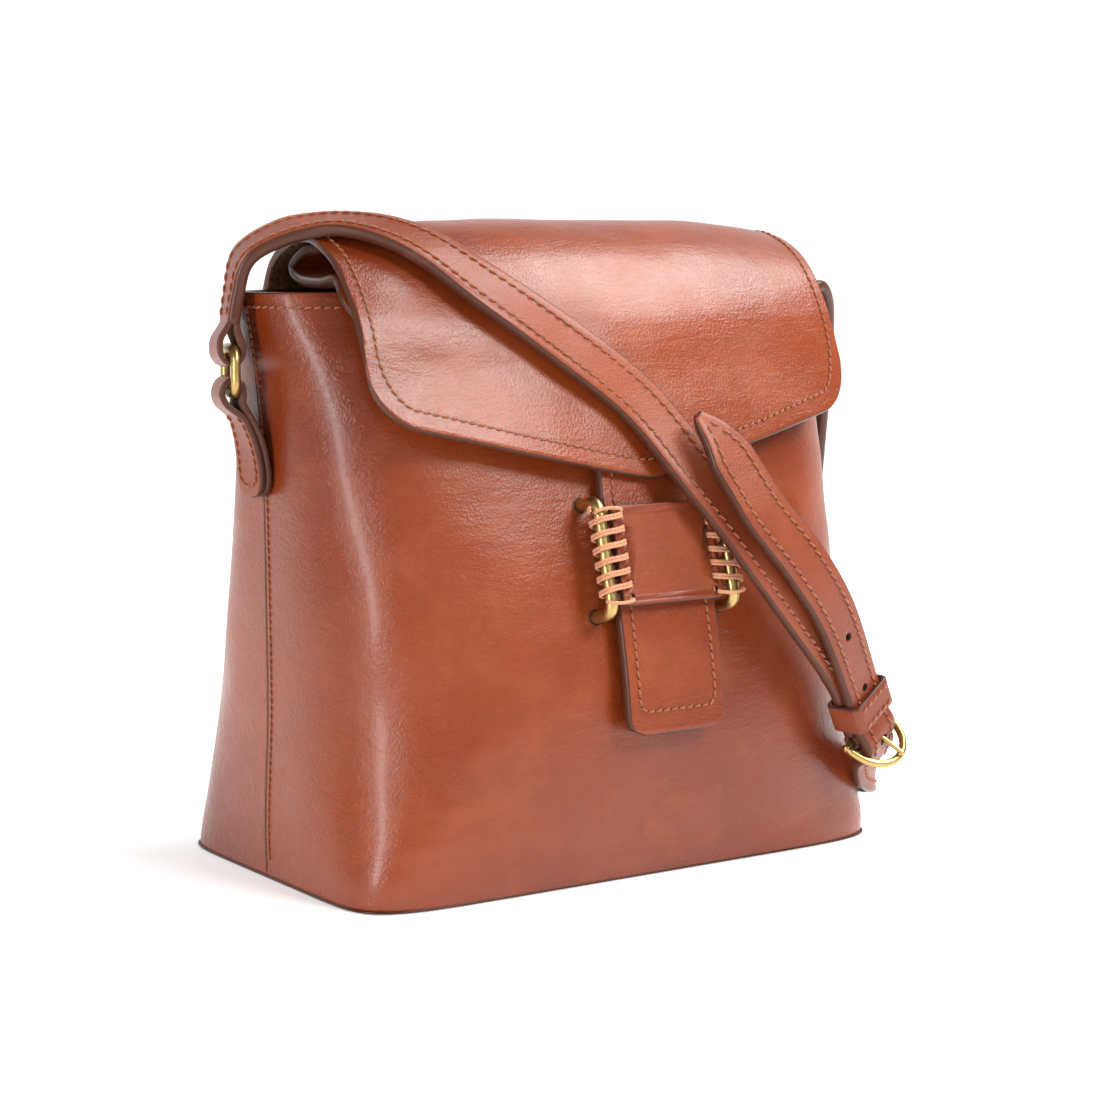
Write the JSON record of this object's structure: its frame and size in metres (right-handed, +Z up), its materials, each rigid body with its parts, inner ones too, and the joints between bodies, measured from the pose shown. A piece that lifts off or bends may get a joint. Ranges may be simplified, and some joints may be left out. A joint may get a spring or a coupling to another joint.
{
  "type": "sling bag",
  "caption": "Boxy leather sling bag with a pinched mouth, a front flap, a closure tab under a laced bridge, and a buckled shoulder strap on side rings.",
  "frame": {"origin": "middle of the base's underside, on the floor", "axes": "+Z up out of the mouth, -Y out of the front with the flap, +X to the bag's side that the long strap hangs on"},
  "size_m": [0.3126, 0.1833, 0.2464],
  "materials": {
    "leather": "satin",
    "suede": "matte",
    "board": "matte",
    "brass": "polished",
    "cord": "waxed"
  },
  "bodies": {
    "body": {"front_panel": "leather", "back_panel": "leather", "base_panel": "leather", "base_board": "board", "rim_facing_front": "leather", "rim_facing_back": "leather", "flap_lap": "leather", "bridge": "leather", "bar_backing": "suede", "bar_left": "brass", "bar_washer_left_top": "brass", "bar_washer_left_bottom": "brass", "lacing_left": "cord", "side_tab_left": "leather", "strap_loop_left": "leather", "bar_right": "brass", "bar_washer_right_top": "brass", "bar_washer_right_bottom": "brass", "lacing_right": "cord", "side_tab_right": "leather", "strap_loop_right": "leather"},
    "flap": {"flap": "leather", "closure_flap": "leather", "closure_lining": "suede"},
    "ring_left": {"ring_left": "brass"},
    "ring_right": {"ring_right": "brass"},
    "strap": {"short_strap": "leather", "short_strap_lining": "suede", "long_strap": "leather", "long_strap_lining": "suede", "keeper": "leather", "buckle_fold": "leather"},
    "buckle": {"buckle_frame": "brass"},
    "prong": {"buckle_prong": "brass"}
  },
  "joints": [
    {"name": "flap_hinge", "type": "hinge", "parent": "body", "child": "flap", "pos_m": [0, 0.02905, 0.217], "axis": [-1, 0, 0], "range_deg": [0, 165], "deforming": ["closure_flap", "closure_lining", "short_strap", "short_strap_lining", "long_strap", "long_strap_lining"]},
    {"name": "ring_left_swing", "type": "hinge", "parent": "body", "child": "ring_left", "pos_m": [-0.13119, 0, 0.181], "axis": [0.309, 0.9511, 0], "range_deg": [-5, 0]},
    {"name": "ring_right_swing", "type": "hinge", "parent": "body", "child": "ring_right", "pos_m": [0.13119, 0, 0.181], "axis": [0, 1, 0], "range_deg": [0, 5]},
    {"name": "strap_swing", "type": "hinge", "parent": "body", "child": "strap", "pos_m": [0, 0, 0.189], "axis": [-1, 0, 0], "range_deg": [0, 115], "deforming": ["short_strap", "short_strap_lining", "long_strap", "long_strap_lining"]},
    {"name": "buckle_swing", "type": "hinge", "parent": "strap", "child": "buckle", "pos_m": [0.09397, -0.08954, 0.04758], "axis": [0.836, 0.226, 0.5], "range_deg": [0, 12]},
    {"name": "prong_lift", "type": "hinge", "parent": "strap", "child": "prong", "pos_m": [0.09397, -0.08954, 0.04758], "axis": [0.836, 0.226, 0.5], "range_deg": [-12, 0]}
  ]
}
